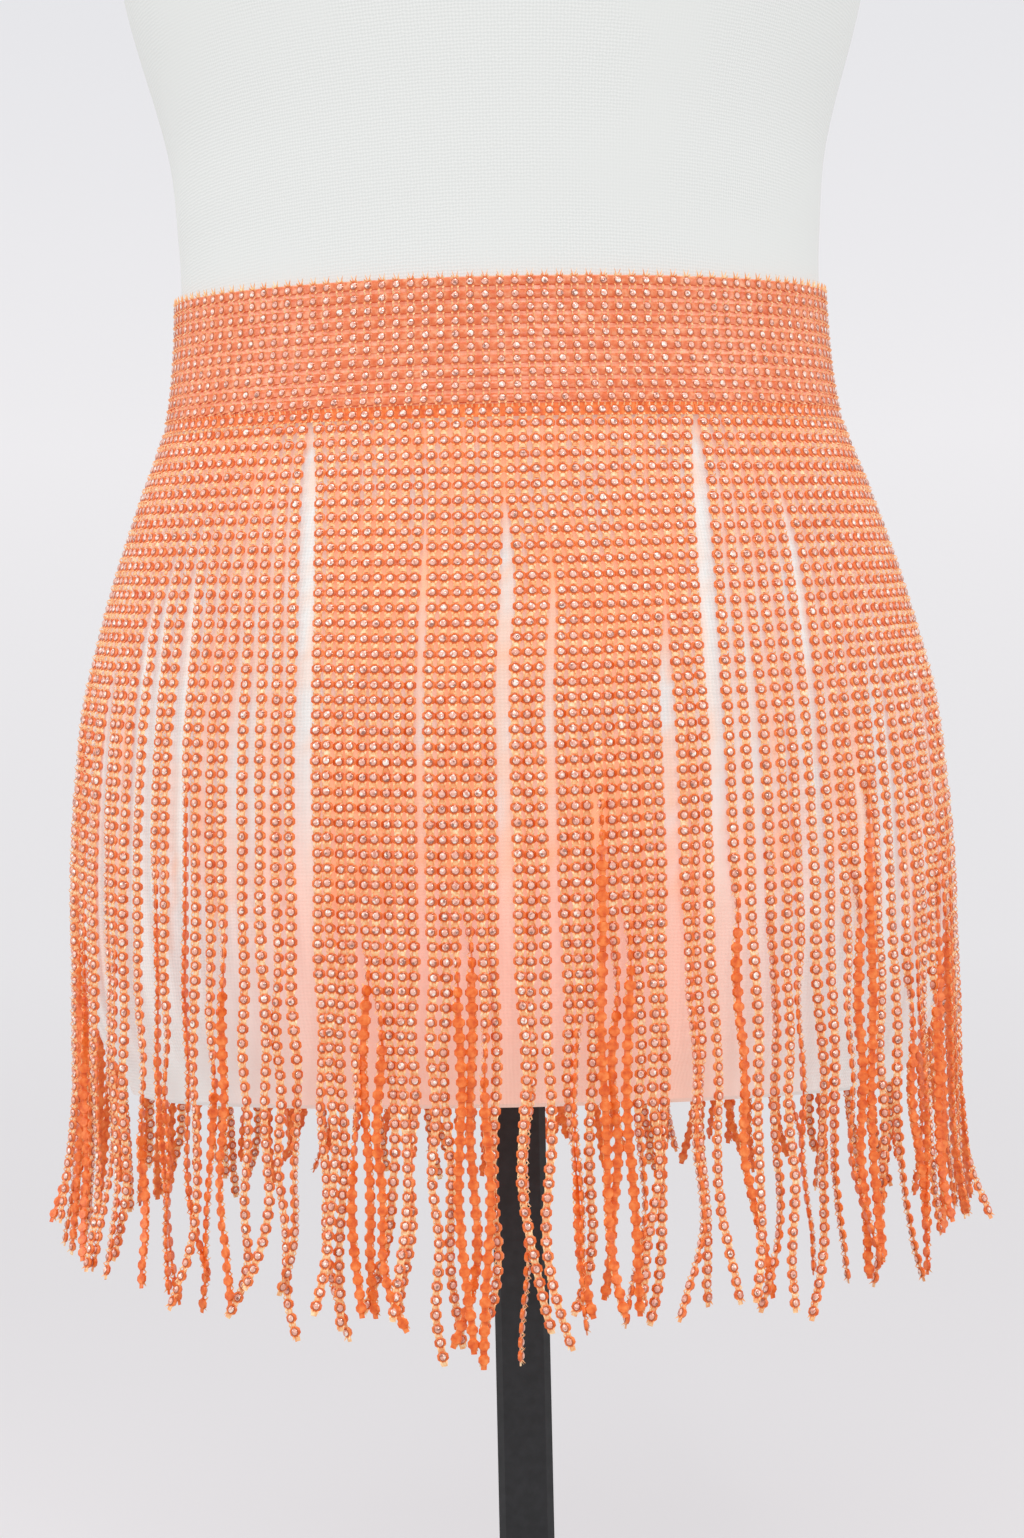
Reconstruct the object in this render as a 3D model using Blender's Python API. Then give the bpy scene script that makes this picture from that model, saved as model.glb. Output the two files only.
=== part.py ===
"""A rhinestone fringe belt worn low on a white limbless dress form with a black pole and base.

Metres, +Z up. The front faces -Y. The origin is under the middle of the base plate.
The belt is a ribbed stretch band over five lengths of fringe trim, each a header strip
with thirty strands that slide down over the hips and then hang free.
"""

import math
import random

import bmesh
import bpy
from mathutils import Vector

# The stand
BASE_SIDE = 0.300
BASE_THICK = 0.006
BASE_CORNER = 0.030
BASE_EDGE = 0.0015
COLLAR_SIDE = 0.044
COLLAR_CORNER = 0.006
COLLAR_TOP = 0.040
POLE_SIDE = 0.0215
POLE_CHAMFER = 0.0026
FIT_GAP = 0.0003
POLE_FOOT = BASE_THICK + FIT_GAP
SOCKET_DEPTH = 0.060
CUT_PAST = 0.020

# The form, as sections: height, half width, depth to the front, depth to the back
FORM_BOTTOM = 0.330
FORM_EDGE = 0.007
EDGE_STEP = 0.0018
FORM_SECTIONS = (
    {"height": 0.337, "half_width": 0.1545, "front": 0.0965, "back": 0.1000},
    {"height": 0.350, "half_width": 0.1630, "front": 0.1035, "back": 0.1085},
    {"height": 0.366, "half_width": 0.1685, "front": 0.1085, "back": 0.1150},
    {"height": 0.390, "half_width": 0.1712, "front": 0.1130, "back": 0.1212},
    {"height": 0.415, "half_width": 0.1712, "front": 0.1162, "back": 0.1240},
    {"height": 0.450, "half_width": 0.1692, "front": 0.1172, "back": 0.1225},
    {"height": 0.490, "half_width": 0.1648, "front": 0.1140, "back": 0.1160},
    {"height": 0.530, "half_width": 0.1550, "front": 0.1072, "back": 0.1065},
    {"height": 0.565, "half_width": 0.1434, "front": 0.1000, "back": 0.0975},
    {"height": 0.595, "half_width": 0.1328, "front": 0.0945, "back": 0.0905},
    {"height": 0.625, "half_width": 0.1288, "front": 0.0922, "back": 0.0868},
    {"height": 0.660, "half_width": 0.1284, "front": 0.0925, "back": 0.0862},
    {"height": 0.705, "half_width": 0.1325, "front": 0.0962, "back": 0.0890},
    {"height": 0.764, "half_width": 0.1482, "front": 0.1045, "back": 0.0950},
    {"height": 0.810, "half_width": 0.1560, "front": 0.1150, "back": 0.1000},
    {"height": 0.855, "half_width": 0.1590, "front": 0.1255, "back": 0.1035},
    {"height": 0.895, "half_width": 0.1615, "front": 0.1265, "back": 0.1060},
    {"height": 0.940, "half_width": 0.1665, "front": 0.1155, "back": 0.1065},
    {"height": 0.980, "half_width": 0.1715, "front": 0.1000, "back": 0.1025},
    {"height": 1.010, "half_width": 0.1700, "front": 0.0870, "back": 0.0950},
    {"height": 1.032, "half_width": 0.1560, "front": 0.0770, "back": 0.0860},
    {"height": 1.050, "half_width": 0.1200, "front": 0.0670, "back": 0.0750},
    {"height": 1.064, "half_width": 0.0830, "front": 0.0590, "back": 0.0650},
    {"height": 1.080, "half_width": 0.0600, "front": 0.0530, "back": 0.0580},
    {"height": 1.112, "half_width": 0.0540, "front": 0.0500, "back": 0.0540},
)
NECK_TOP = 1.118
NECK_EDGE = 0.006
FORM_SEGMENTS = 40
WAIST_FROM, WAIST_TO, WAIST_STEP = 0.570, 0.666, 0.012

# The belt sits with its back higher than its front
BELT_TILT = 0.13
BAND_TOP = 0.646
BAND_ROWS = 10
ROW_PITCH = 0.0048
BAND_INSIDE = 0.0005
BAND_WALL = 0.0017
ROW_RISE = 0.0013
SEAM = 0.0003

# The fringe
HEADER_HEIGHT = 0.0042
HEADER_THICK = 0.0026
TRIMS = ("front", "right_front", "right_back", "left_back", "left_front")
STRANDS = 30
STRAND_WIDTH = 0.0036
STRAND_THICK = 0.0026
FRONT_LENGTH = 0.331
BACK_LENGTH = 0.318
LENGTH_SPREAD = 0.010
LEAST_PITCH = 0.00435
LAYER_STEP = 0.0033
SWAY = 0.0014
CURL = 0.0011
FLARE = 0.0060
CLEAR = 0.0012
STATIONS = (0.038, 0.080, 0.124, 0.170, 0.285, 1.0)
SLIDE_STEP = 0.004
# Distances down a strand between which each change comes in
LAYERING = (0.080, 0.124)
SWAYING = (0.170, 0.260)
DRIFTING = (0.200, 0.330)
CURLING = (0.285, 0.345)
OPENING = 0.11

# Strands that hang together, trim by trim, and how far each bunch drifts at its ends in mm.
# The gaps before, between and after the bunches share what the strands leave free, in percent,
# and each starts to open at its own distance down the strands, in mm.
BUNCHES = (
    {
        "trim": "front",
        "sizes": (9, 6, 3, 9, 3),
        "drift": (-1, 0, 1, 0, 1),
        "share": (13, 10, 29, 13, 22, 13),
        "opens": (-20, 25, 20, 40, 60, -20),
    },
    {
        "trim": "right_front",
        "sizes": (2, 4, 6, 5, 3, 4, 3, 3),
        "drift": (1, 1, -1, 1, -1, 1, 0, -1),
        "share": (4, 6, 5, 15, 11, 14, 14, 15, 16),
        "opens": (-20, 70, 10, 80, 65, 90, 60, 70, 60),
    },
    {
        "trim": "right_back",
        "sizes": (4, 5, 3, 6, 4, 5, 3),
        "drift": (1, -1, 1, 0, -1, 1, 0),
        "share": (12, 13, 12, 13, 12, 13, 13, 12),
        "opens": (60, 70, 50, 80, 60, 40, 70, 40),
    },
    {
        "trim": "left_back",
        "sizes": (3, 5, 4, 6, 3, 4, 5),
        "drift": (0, 1, -1, 1, 0, -1, 1),
        "share": (12, 13, 13, 12, 13, 12, 13, 12),
        "opens": (40, 70, 60, 50, 80, 60, 70, 60),
    },
    {
        "trim": "left_front",
        "sizes": (4, 3, 5, 4, 3, 1, 2, 4, 1, 3),
        "drift": (1, 0, -1, 1, 0, 1, 0, -1, 0, 1),
        "share": (11, 11, 11, 11, 11, 14, 7, 10, 5, 5, 4),
        "opens": (60, 80, 70, 60, 70, 50, 35, 40, 75, 70, -20),
    },
)


def clear_scene():
    for item in list(bpy.data.objects):
        bpy.data.objects.remove(item, do_unlink=True)


def material(name, colour, roughness, metallic=0.0):
    finish = bpy.data.materials.new(name)
    finish.use_nodes = True
    shader = finish.node_tree.nodes["Principled BSDF"]
    shader.inputs["Base Color"].default_value = (*colour, 1.0)
    shader.inputs["Roughness"].default_value = roughness
    shader.inputs["Metallic"].default_value = metallic
    return finish


def mesh_object(name, points, faces, finish, smooth_angle=None):
    mesh = bpy.data.meshes.new(name)
    mesh.from_pydata([tuple(point) for point in points], [], faces)
    shaper = bmesh.new()
    shaper.from_mesh(mesh)
    bmesh.ops.recalc_face_normals(shaper, faces=shaper.faces)
    if shaper.calc_volume(signed=True) < 0:
        bmesh.ops.reverse_faces(shaper, faces=shaper.faces)
    shaper.to_mesh(mesh)
    shaper.free()
    if smooth_angle is not None:
        mesh.shade_smooth()
        mesh.set_sharp_from_angle(angle=math.radians(smooth_angle))
    mesh.materials.append(finish)
    item = bpy.data.objects.new(name, mesh)
    bpy.context.scene.collection.objects.link(item)
    return item


def ring_faces(rings):
    """Quads between rings of point numbers that close on themselves."""
    faces = []
    for lower, upper in zip(rings, rings[1:]):
        count = len(lower)
        for i in range(count):
            j = (i + 1) % count
            faces.append((lower[i], lower[j], upper[j], upper[i]))
    return faces


def form_size(height, key):
    """A section's size at any height, eased through the table's rows."""
    rows = FORM_SECTIONS
    if height <= rows[0]["height"]:
        return rows[0][key]
    if height >= rows[-1]["height"]:
        return rows[-1][key]
    i = next(n for n in range(len(rows) - 1) if rows[n + 1]["height"] >= height)

    def slope(n):
        before, after = rows[max(n - 1, 0)], rows[min(n + 1, len(rows) - 1)]
        return (after[key] - before[key]) / (after["height"] - before["height"])

    low, high = rows[i], rows[i + 1]
    span = high["height"] - low["height"]
    t = (height - low["height"]) / span
    return (
        low[key] * (1 + 2 * t) * (1 - t) ** 2
        + high[key] * t * t * (3 - 2 * t)
        + slope(i) * span * t * (1 - t) ** 2
        - slope(i + 1) * span * t * t * (1 - t)
    )


def form_radii(height, offset=0.0):
    return tuple(form_size(height, key) + offset for key in ("half_width", "front", "back"))


def oval_point(radii, angle):
    """Angle 0 is the photo's right side and 90 degrees is the front."""
    across, front, back = radii
    depth = front if math.sin(angle) > 0 else back
    return Vector((across * math.cos(angle), -depth * math.sin(angle), 0.0))


def tilted_point(angle, height, offset):
    """A point off the form at a height measured at its axis, on the belt's tilted level."""
    point = oval_point(form_radii(height, offset), angle)
    for _ in range(3):
        level = height + BELT_TILT * point.y
        point = oval_point(form_radii(level, offset), angle)
    point.z = height + BELT_TILT * point.y
    return point


def oval_normal(point, radii):
    across, front, back = radii
    depth = front if point.y < 0 else back
    return Vector((point.x / across**2, point.y / depth**2, 0.0)).normalized()


def form_rings():
    """Outline of the torso from the middle of the neck down to the socket in its flat underside."""
    levels = [(NECK_TOP, -NECK_EDGE), (NECK_TOP - EDGE_STEP, -EDGE_STEP)]
    heights = [row["height"] for row in FORM_SECTIONS if not WAIST_FROM <= row["height"] <= WAIST_TO]
    heights += [WAIST_FROM + WAIST_STEP * i for i in range(round((WAIST_TO - WAIST_FROM) / WAIST_STEP) + 1)]
    levels += [(height, 0.0) for height in sorted(heights, reverse=True)]
    levels += [(FORM_BOTTOM + EDGE_STEP, -EDGE_STEP), (FORM_BOTTOM, -FORM_EDGE)]
    return levels


def dress_form():
    points, rings = [], []
    for level, inset in form_rings():
        radii = form_radii(level, inset)
        start = len(points)
        for i in range(FORM_SEGMENTS):
            point = oval_point(radii, math.tau * i / FORM_SEGMENTS)
            point.z = level
            points.append(point)
        rings.append(list(range(start, start + FORM_SEGMENTS)))
    faces = ring_faces(rings)
    faces.append(tuple(rings[0]))
    faces.append(tuple(rings[-1]))
    finish = material("form_jersey", (0.86, 0.87, 0.86), 0.85)
    form = mesh_object("dress_form", points, faces, finish, 50)
    socket = pole_prism(
        "pole_socket", POLE_SIDE + 2 * FIT_GAP, POLE_CHAMFER,
        FORM_BOTTOM - CUT_PAST, FORM_BOTTOM + SOCKET_DEPTH, finish,
    )
    socket.hide_render = True
    socket.display_type = "WIRE"
    cut = form.modifiers.new("socket", "BOOLEAN")
    cut.operation = "DIFFERENCE"
    cut.solver = "EXACT"
    cut.object = socket


def chamfered_square(side, chamfer):
    half = side / 2
    inner = half - chamfer
    return [
        (half, -inner), (half, inner), (inner, half), (-inner, half),
        (-half, inner), (-half, -inner), (-inner, -half), (inner, -half),
    ]


def pole_prism(name, side, chamfer, bottom, top, finish):
    outline = chamfered_square(side, chamfer)
    points = [Vector((x, y, z)) for z in (bottom, top) for x, y in outline]
    count = len(outline)
    faces = ring_faces([list(range(count)), list(range(count, 2 * count))])
    faces += [tuple(range(count)), tuple(range(count, 2 * count))]
    return mesh_object(name, points, faces, finish)


def pole():
    finish = material("stand_black", (0.018, 0.018, 0.02), 0.4, 0.1)
    top = FORM_BOTTOM + SOCKET_DEPTH - FIT_GAP
    pole_prism("pole", POLE_SIDE, POLE_CHAMFER, POLE_FOOT, top, finish)


def rounded_square(side, corner, steps):
    half = side / 2 - corner
    outline = []
    for turn, (sx, sy) in enumerate(((1, 1), (-1, 1), (-1, -1), (1, -1))):
        for i in range(steps + 1):
            angle = math.radians(90 * turn + 90 * i / steps)
            outline.append((sx * half + corner * math.cos(angle), sy * half + corner * math.sin(angle)))
    return outline


def base():
    """A steel plate with a rounded edge and a square collar that takes the pole."""
    finish = material("base_black", (0.018, 0.018, 0.02), 0.45, 0.1)
    steps = 5
    levels = (
        (0.0, BASE_SIDE, BASE_CORNER),
        (BASE_THICK - BASE_EDGE, BASE_SIDE, BASE_CORNER),
        (BASE_THICK, BASE_SIDE - 2 * BASE_EDGE, BASE_CORNER - BASE_EDGE),
        (BASE_THICK, COLLAR_SIDE, COLLAR_CORNER),
        (COLLAR_TOP - BASE_EDGE, COLLAR_SIDE, COLLAR_CORNER),
        (COLLAR_TOP, COLLAR_SIDE - 2 * BASE_EDGE, COLLAR_CORNER - BASE_EDGE),
    )
    points, rings = [], []
    for level, side, corner in levels:
        start = len(points)
        outline = rounded_square(side, corner, steps)
        points += [Vector((x, y, level)) for x, y in outline]
        rings.append(list(range(start, start + len(outline))))
    faces = ring_faces(rings)
    faces += [tuple(rings[0]), tuple(rings[-1])]
    plate = mesh_object("base", points, faces, finish)
    bore = pole_prism(
        "pole_bore", POLE_SIDE + 2 * FIT_GAP, POLE_CHAMFER,
        POLE_FOOT - FIT_GAP, COLLAR_TOP + CUT_PAST, finish,
    )
    bore.hide_render = True
    bore.display_type = "WIRE"
    cut = plate.modifiers.new("bore", "BOOLEAN")
    cut.operation = "DIFFERENCE"
    cut.solver = "EXACT"
    cut.object = bore


def waistband():
    """A closed loop with a plain inside and one raised rib for each row of stones."""
    height = BAND_ROWS * ROW_PITCH
    outer = BAND_INSIDE + BAND_WALL
    profile = [(BAND_TOP, BAND_INSIDE), (BAND_TOP, outer)]
    for row in range(BAND_ROWS):
        profile.append((BAND_TOP - (row + 0.5) * ROW_PITCH, outer + ROW_RISE))
        profile.append((BAND_TOP - (row + 1) * ROW_PITCH, outer))
    profile.append((BAND_TOP - height, BAND_INSIDE))
    points, rings = [], []
    for level, offset in profile:
        start = len(points)
        for i in range(FORM_SEGMENTS):
            points.append(tilted_point(math.tau * i / FORM_SEGMENTS, level, offset))
        rings.append(list(range(start, start + FORM_SEGMENTS)))
    rings.append(rings[0])
    finish = material("rhinestone_mesh", (0.95, 0.20, 0.07), 0.35)
    mesh_object("waistband", points, ring_faces(rings), finish, 30)


class Level:
    """Distance round the hanging surface at one height, measured from the front."""

    def __init__(self, radii, steps=360):
        self.radii = radii
        self.angles, self.lengths = [], [0.0]
        last = None
        for i in range(steps + 1):
            angle = math.pi / 2 - math.tau * i / steps
            point = oval_point(radii, angle)
            if last is not None:
                self.lengths.append(self.lengths[-1] + (point - last).length)
            self.angles.append(angle)
            last = point
        self.girth = self.lengths[-1]

    def point(self, distance):
        distance %= self.girth
        step = min(int(distance / self.girth * (len(self.lengths) - 1)), len(self.lengths) - 2)
        while self.lengths[step] > distance:
            step -= 1
        while self.lengths[step + 1] < distance:
            step += 1
        part = (distance - self.lengths[step]) / (self.lengths[step + 1] - self.lengths[step])
        angle = self.angles[step] + part * (self.angles[step + 1] - self.angles[step])
        return oval_point(self.radii, angle)

    def distance(self, point):
        across, front, back = self.radii
        depth = front if point.y < 0 else back
        angle = math.atan2(-point.y / depth, point.x / across)
        turn = (math.pi / 2 - angle) % math.tau / math.tau * (len(self.angles) - 1)
        step = min(int(turn), len(self.lengths) - 2)
        return self.lengths[step] + (turn - step) * (self.lengths[step + 1] - self.lengths[step])


def hanging_radii(height, top):
    """The widest the form has been between the band and this height, where a strand still lies."""
    steps = max(1, math.ceil((top - height) / SLIDE_STEP))
    widths = [form_radii(height + (top - height) * i / steps, CLEAR) for i in range(steps + 1)]
    return tuple(max(width[n] for width in widths) for n in range(3))


def slide_down(point, heights, top):
    """Where a strand that starts at this point lies at each height: the form pushes it outward."""
    place = point.copy()
    level = point.z
    places = []
    for height in heights:
        steps = max(1, math.ceil((level - height) / SLIDE_STEP))
        start = level
        for i in range(1, steps + 1):
            level = start + (height - start) * i / steps
            across, front, back = hanging_radii(level, top)
            depth = front if place.y < 0 else back
            short = 1.0 - (place.x / across) ** 2 - (place.y / depth) ** 2
            if short > 0:
                pull = Vector((2 * place.x / across**2, 2 * place.y / depth**2, 0.0))
                place += pull * (short / pull.length_squared)
        places.append(place.copy())
    return places


def header_outline():
    """The ring of angles at equal distances round the header, from the front going to the right."""
    level = BAND_TOP - BAND_ROWS * ROW_PITCH - SEAM
    steps = 720
    angles = [math.pi / 2 - math.tau * i / steps for i in range(steps + 1)]
    ring = [tilted_point(angle, level, BAND_INSIDE + HEADER_THICK / 2) for angle in angles]
    lengths = [0.0]
    for before, after in zip(ring, ring[1:]):
        lengths.append(lengths[-1] + (after - before).length)
    return level, angles, lengths


def angle_at(distance, angles, lengths):
    distance %= lengths[-1]
    step = next(n for n in range(len(lengths) - 1) if lengths[n + 1] >= distance)
    part = (distance - lengths[step]) / (lengths[step + 1] - lengths[step])
    return angles[step] + part * (angles[step + 1] - angles[step])


def smooth_ramp(value, start, end):
    t = min(1.0, max(0.0, (value - start) / (end - start)))
    return t * t * (3 - 2 * t)


def strand_length(root):
    """Strands hang straightest at the front, and their curls shorten them at the sides and back."""
    frontness = max(0.0, -root.y) / math.hypot(root.x, root.y)
    return BACK_LENGTH + (FRONT_LENGTH - BACK_LENGTH) * frontness


def strand_heights(root, downs):
    """Heights at distances along a strand, which runs slantwise while it lies on the hip."""
    heights = []
    height, travelled = root.z, 0.0
    last = form_radii(height)
    side = abs(root.x) / math.hypot(root.x, root.y)
    for down in downs:
        drop = down - travelled
        for _ in range(2):
            now = form_radii(height - drop)
            grow = max(0.0, side * (now[0] - last[0]) + (1 - side) * (now[1] - last[1]))
            drop = math.sqrt(max((down - travelled) ** 2 - grow**2, 1e-9))
        height -= drop
        last = form_radii(height)
        travelled = down
        heights.append(height)
    return heights


def trim_place(row, bunch, strand, down, start, end, girth):
    """Distance round the form of one strand, with the gaps open as far as they are at this depth."""
    if start > end:
        start -= girth
    free = end - start - STRANDS * LEAST_PITCH
    gaps = [
        free * share / 100 * smooth_ramp(down, opens / 1000, opens / 1000 + OPENING)
        for share, opens in zip(row["share"], row["opens"])
    ]
    strand_pitch = (end - start - sum(gaps)) / STRANDS
    return start + (strand + 0.5) * strand_pitch + sum(gaps[:bunch + 1])


def fringe_trim(number, finish):
    """A header strip with thirty strands grown from its underside."""
    row = next(item for item in BUNCHES if item["trim"] == TRIMS[number])
    level, angles, lengths = header_outline()
    pitch = lengths[-1] / (len(TRIMS) * STRANDS)
    first = (number - 0.5) * STRANDS * pitch
    chance = random.Random(20 + number)

    # Header strip: two stations at each strand and one at each end
    stations = [first + SEAM / 2]
    for strand in range(STRANDS):
        middle = first + (strand + 0.5) * pitch
        stations += [middle - STRAND_WIDTH / 2, middle + STRAND_WIDTH / 2]
    stations.append(first + STRANDS * pitch - SEAM / 2)
    points, rings = [], []
    for distance in stations:
        angle = angle_at(distance, angles, lengths)
        inside, outside = BAND_INSIDE, BAND_INSIDE + HEADER_THICK
        rings.append(list(range(len(points), len(points) + 4)))
        points += [
            tilted_point(angle, level, inside),
            tilted_point(angle, level, outside),
            tilted_point(angle, level - HEADER_HEIGHT, outside),
            tilted_point(angle, level - HEADER_HEIGHT, inside),
        ]
    faces = [tuple(rings[0]), tuple(rings[-1])]
    for i, (a, b) in enumerate(zip(rings, rings[1:])):
        for side in range(4):
            if side == 2 and i % 2 == 1:
                continue
            after = (side + 1) % 4
            faces.append((a[side], b[side], b[after], a[after]))

    # Strands, bunch by bunch, between the lines down which the trim's two ends hang
    ends = [
        tilted_point(angle_at(first + n * pitch, angles, lengths), level - HEADER_HEIGHT, CLEAR)
        for n in (0, STRANDS)
    ]
    top = max(end.z for end in ends)
    strand = 0
    for bunch, (size, drift) in enumerate(zip(row["sizes"], row["drift"])):
        for _ in range(size):
            length = chance.uniform(-LENGTH_SPREAD, LENGTH_SPREAD)
            sway = chance.uniform(-SWAY, SWAY)
            curl = chance.uniform(-CURL, CURL)
            layer = LAYER_STEP * (strand % 2)
            flare = chance.uniform(0.0, FLARE) * (1 if layer else -1)
            left, right = rings[1 + 2 * strand], rings[2 + 2 * strand]
            last = [left[3], left[2], right[2], right[3]]
            root = (points[left[3]] + points[right[3]]) / 2
            length += strand_length(root)
            downs = [down if down < 1.0 else length for down in STATIONS]
            heights = strand_heights(root, downs)
            lines = [slide_down(end, heights, top) for end in ends]
            for down, height, start, end in zip(downs, heights, *lines):
                hang = Level(hanging_radii(height, top))
                place = trim_place(row, bunch, strand, down, hang.distance(start), hang.distance(end), hang.girth)
                place += drift / 1000 * smooth_ramp(down, *DRIFTING)
                place += sway * smooth_ramp(down, *SWAYING) + curl * smooth_ramp(down, *CURLING)
                centre = hang.point(place)
                normal = oval_normal(centre, hang.radii)
                along = Vector((-normal.y, normal.x, 0.0))
                proud = layer * smooth_ramp(down, *LAYERING) + flare * smooth_ramp(down, *CURLING)
                inner = centre + normal * proud
                outer = inner + normal * STRAND_THICK
                half = along * (STRAND_WIDTH / 2)
                new = []
                for corner in (inner - half, outer - half, outer + half, inner + half):
                    corner.z = height
                    new.append(len(points))
                    points.append(corner)
                faces += ring_faces([last, new])
                last = new
            faces.append(tuple(last))
            strand += 1
    mesh_object("fringe_" + TRIMS[number], points, faces, finish)


clear_scene()
dress_form()
pole()
base()
waistband()
chain = material("fringe_chain", (0.95, 0.19, 0.06), 0.35)
for trim in range(len(TRIMS)):
    fringe_trim(trim, chain)
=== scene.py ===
import math
import random

import bpy
import numpy as np
from mathutils import Matrix, Vector
from mathutils.kdtree import KDTree


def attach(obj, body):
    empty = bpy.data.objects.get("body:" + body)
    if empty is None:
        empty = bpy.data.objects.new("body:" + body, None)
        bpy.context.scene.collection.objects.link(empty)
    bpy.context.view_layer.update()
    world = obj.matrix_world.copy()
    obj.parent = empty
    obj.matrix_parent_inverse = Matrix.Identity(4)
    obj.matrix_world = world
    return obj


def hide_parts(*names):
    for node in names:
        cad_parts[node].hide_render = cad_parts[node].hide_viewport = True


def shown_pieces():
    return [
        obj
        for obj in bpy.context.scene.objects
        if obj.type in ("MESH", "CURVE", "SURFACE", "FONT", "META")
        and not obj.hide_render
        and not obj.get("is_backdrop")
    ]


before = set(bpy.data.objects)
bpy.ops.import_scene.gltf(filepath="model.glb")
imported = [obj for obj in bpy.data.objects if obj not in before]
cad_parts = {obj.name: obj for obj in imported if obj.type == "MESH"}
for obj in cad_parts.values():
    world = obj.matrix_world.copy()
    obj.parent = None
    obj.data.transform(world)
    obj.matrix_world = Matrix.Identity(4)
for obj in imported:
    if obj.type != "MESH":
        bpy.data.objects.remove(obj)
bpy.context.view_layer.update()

scene = bpy.context.scene
print("frame loaded")

# Sizes that the belt shares with its solids, in metres
belt = {
    "tilt": 0.13,              # how far the back sits above the front
    "bandTop": 0.646,
    "rows": 10,
    "rowPitch": 0.0048,
    "bandInside": 0.0005,
    "seam": 0.0003,
    "headerHeight": 0.0042,
    "headerThick": 0.0026,
    "strands": 30,             # in each length of trim
    "thick": 0.0026,
    "frontLength": 0.331,
    "backLength": 0.318,
    "lengthSpread": 0.010,
    "leastPitch": 0.00435,     # from strand to strand inside a bunch
    "sway": 0.0014,
    "curl": 0.0011,
    "flare": 0.0060,
    "clear": 0.0012,
    "opening": 0.11,           # how far down a gap takes to open
    "layering": (0.080, 0.124),
    "swaying": (0.170, 0.260),
    "drifting": (0.200, 0.330),
    "curling": (0.285, 0.345),
}

# The bunches of each trim, how far they drift in mm, what share in percent each gap takes of the free width,
# how far down it starts to open, in mm, and the strands that turn their backs to the front lower down
trims = (
    {"name": "front", "sizes": (9, 6, 3, 9, 3), "drift": (-1, 0, -3, 0, 1),
     "share": (13, 10, 29, 13, 22, 13), "opens": (-20, 25, 20, 40, 60, -20), "backs": (3, 4, 21, 22, 23)},
    {"name": "right_front", "sizes": (2, 4, 6, 5, 3, 4, 3, 3), "drift": (1, 1, -1, 1, -1, 1, 0, -1),
     "share": (4, 6, 5, 15, 11, 14, 14, 15, 16), "opens": (-20, 70, 10, 80, 65, 90, 60, 70, 60),
     "backs": (15, 16, 22, 24)},
    {"name": "right_back", "sizes": (4, 5, 3, 6, 4, 5, 3), "drift": (1, -1, 1, 0, -1, 1, 0),
     "share": (12, 13, 12, 13, 12, 13, 13, 12), "opens": (60, 70, 50, 80, 60, 40, 70, 40),
     "backs": (8, 21)},
    {"name": "left_back", "sizes": (3, 5, 4, 6, 3, 4, 5), "drift": (0, 1, -1, 1, 0, -1, 1),
     "share": (12, 13, 13, 12, 13, 12, 13, 12), "opens": (40, 70, 60, 50, 80, 60, 70, 60),
     "backs": (6, 19)},
    {"name": "left_front", "sizes": (4, 3, 5, 4, 3, 1, 2, 4, 1, 3), "drift": (1, 0, -1, 1, 0, 1, 0, -1, 0, 1),
     "share": (11, 11, 11, 11, 11, 14, 7, 10, 5, 5, 4), "opens": (60, 80, 70, 60, 70, 50, 35, 40, 75, 70, -20),
     "backs": (5, 12, 13, 19)},
)


# Shapes are points, corner numbers, face sizes and the finish of each face

def makeShape(points, faces, kind=0):    # one kind, or one for each face
    corners = np.array([corner for face in faces for corner in face], dtype=np.int32)
    sizes = np.array([len(face) for face in faces], dtype=np.int32)
    return np.array(points, dtype=float), corners, sizes, np.full(len(faces), kind, dtype=np.int32)


def joined(shapes):
    shift, corners = 0, []
    for shape in shapes:
        corners.append(shape[1] + shift)
        shift += len(shape[0])
    return (np.concatenate([shape[0] for shape in shapes]), np.concatenate(corners),
            np.concatenate([shape[2] for shape in shapes]), np.concatenate([shape[3] for shape in shapes]))


# One copy of a small shape at each place, turned to the directions found there
def stamp(shape, places):
    points, corners, sizes, kinds = shape
    origin, side, down, out = (np.array(rows) for rows in places)
    moved = (origin[:, None] + points[None, :, 0, None] * side[:, None]
             + points[None, :, 1, None] * down[:, None] + points[None, :, 2, None] * out[:, None])
    shifts = np.arange(len(origin), dtype=np.int32) * len(points)
    return (moved.reshape(-1, 3), (corners[None] + shifts[:, None]).ravel(),
            np.tile(sizes, len(origin)), np.tile(kinds, len(origin)))


def meshPiece(name, shape, finishes, smoothAngle=None):
    points, corners, sizes, kinds = shape
    mesh = bpy.data.meshes.new(name)
    mesh.vertices.add(len(points))
    mesh.vertices.foreach_set("co", points.astype(np.float32).ravel())
    mesh.loops.add(len(corners))
    mesh.loops.foreach_set("vertex_index", corners)
    mesh.polygons.add(len(sizes))
    mesh.polygons.foreach_set("loop_start", np.concatenate([[0], np.cumsum(sizes)[:-1]]).astype(np.int32))
    mesh.polygons.foreach_set("loop_total", sizes)
    for finish in finishes:
        mesh.materials.append(finish)
    mesh.polygons.foreach_set("material_index", kinds)
    mesh.update(calc_edges=True)
    if smoothAngle is not None:
        mesh.shade_smooth()
        mesh.set_sharp_from_angle(angle=math.radians(smoothAngle))
    piece = bpy.data.objects.new(name, mesh)
    scene.collection.objects.link(piece)
    return piece


def loftFaces(ringCount, ringSize, first=0, closeRings=False, flip=False):
    faces = []
    for ring in range(ringCount if closeRings else ringCount - 1):
        here = first + ring * ringSize
        there = first + (ring + 1) % ringCount * ringSize
        for i in range(ringSize):
            j = (i + 1) % ringSize
            face = (here + i, here + j, there + j, there + i)
            faces.append(face[::-1] if flip else face)
    return faces


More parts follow.
